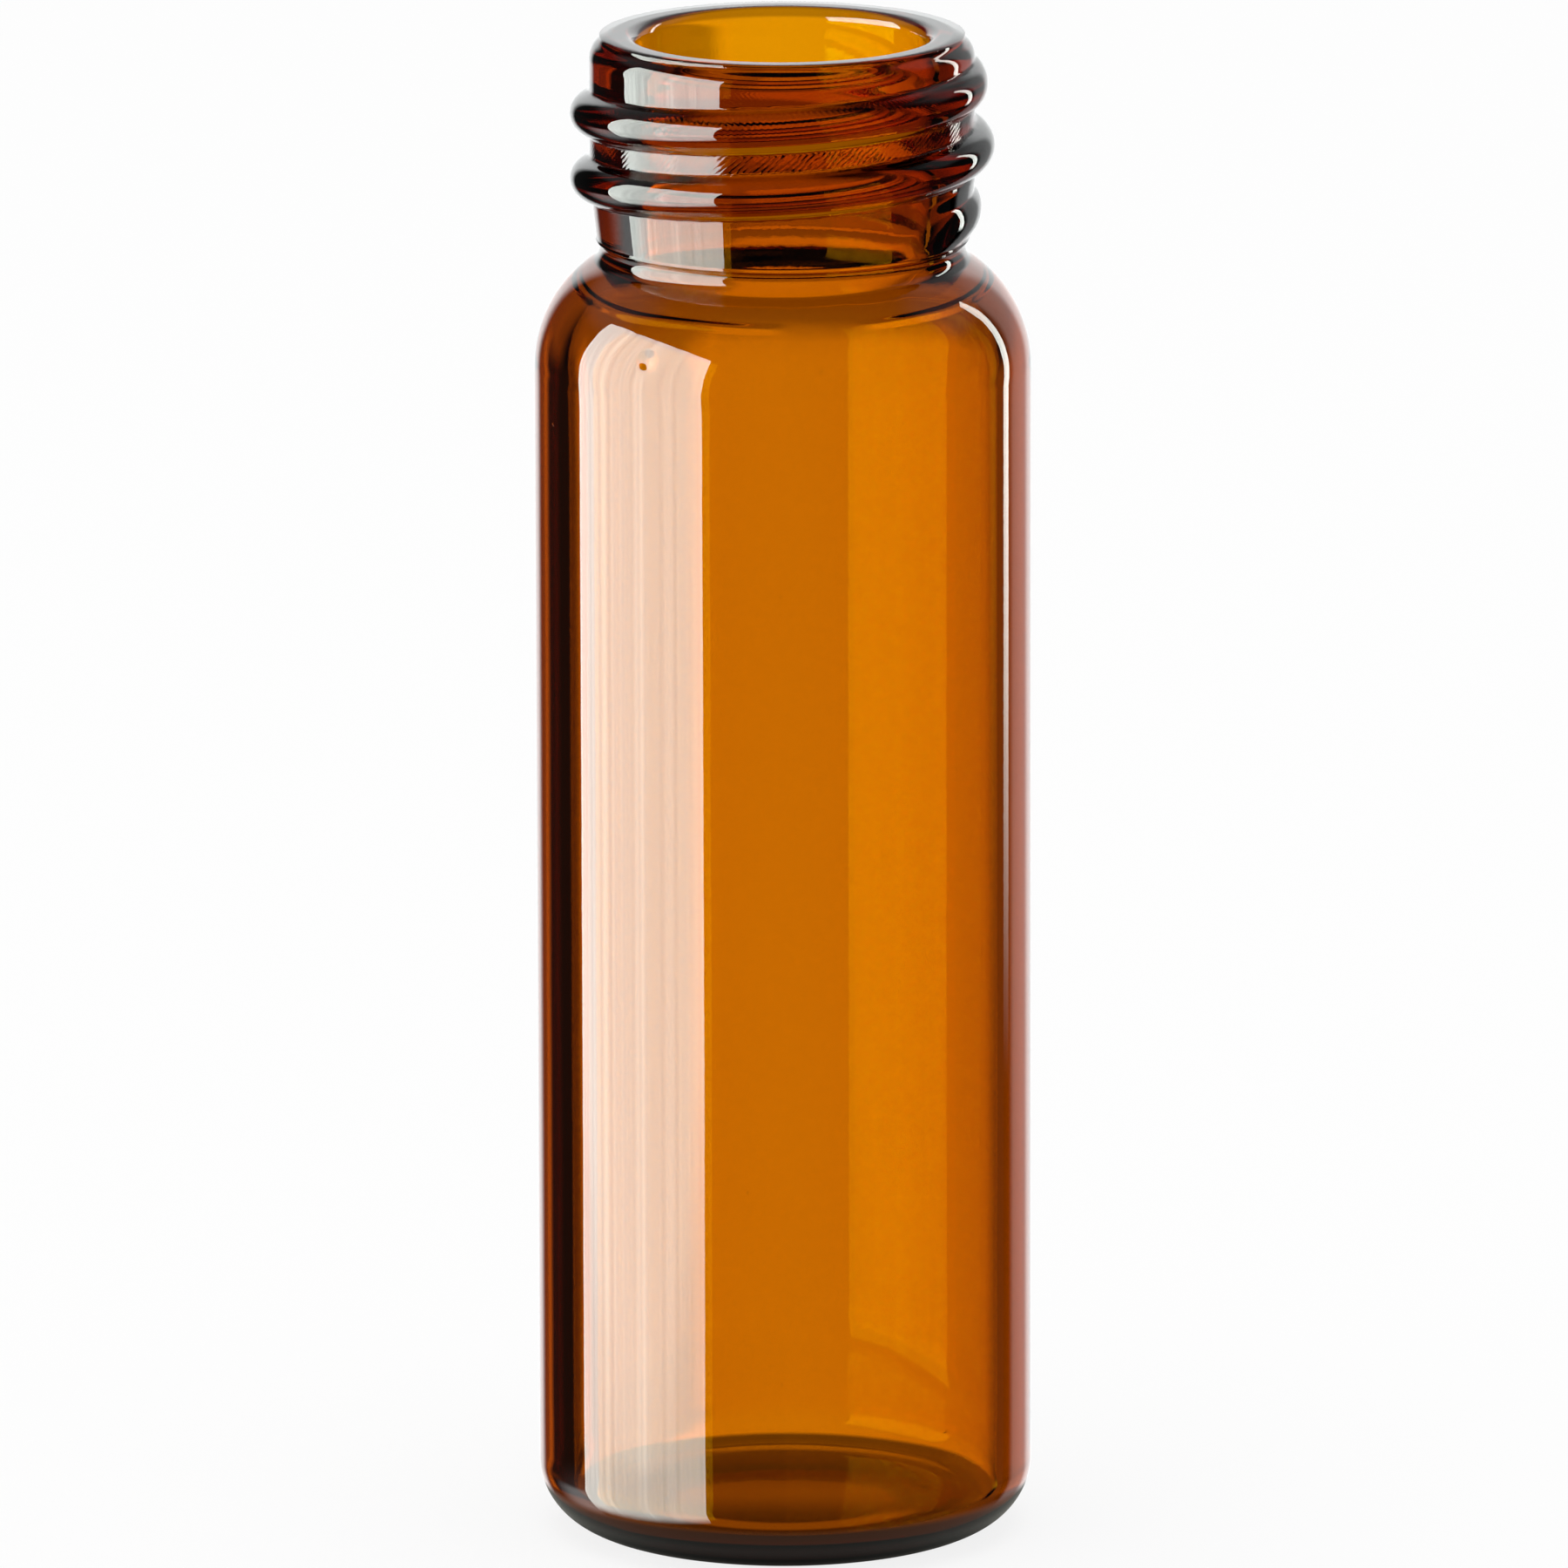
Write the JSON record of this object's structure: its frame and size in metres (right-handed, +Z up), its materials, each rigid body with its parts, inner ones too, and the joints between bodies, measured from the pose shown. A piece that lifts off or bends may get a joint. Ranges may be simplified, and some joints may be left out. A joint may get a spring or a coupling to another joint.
{
  "type": "glass sample vial",
  "caption": "Amber glass screw-neck sample vial: straight tube body, round shoulder, threaded neck with a rounded rim and a dished foot.",
  "frame": {"origin": "centre of the standing ring, on the surface that the vial stands on", "axes": "+Z up along the vial's axis, out of its mouth; +X to the right and -Y towards the viewer, with the lowest end of the thread at the front"},
  "size_m": [0.0146, 0.0146, 0.045],
  "materials": {
    "amber_glass": "polished amber glass"
  },
  "bodies": {
    "root": {"vial": "amber_glass"}
  },
  "joints": []
}
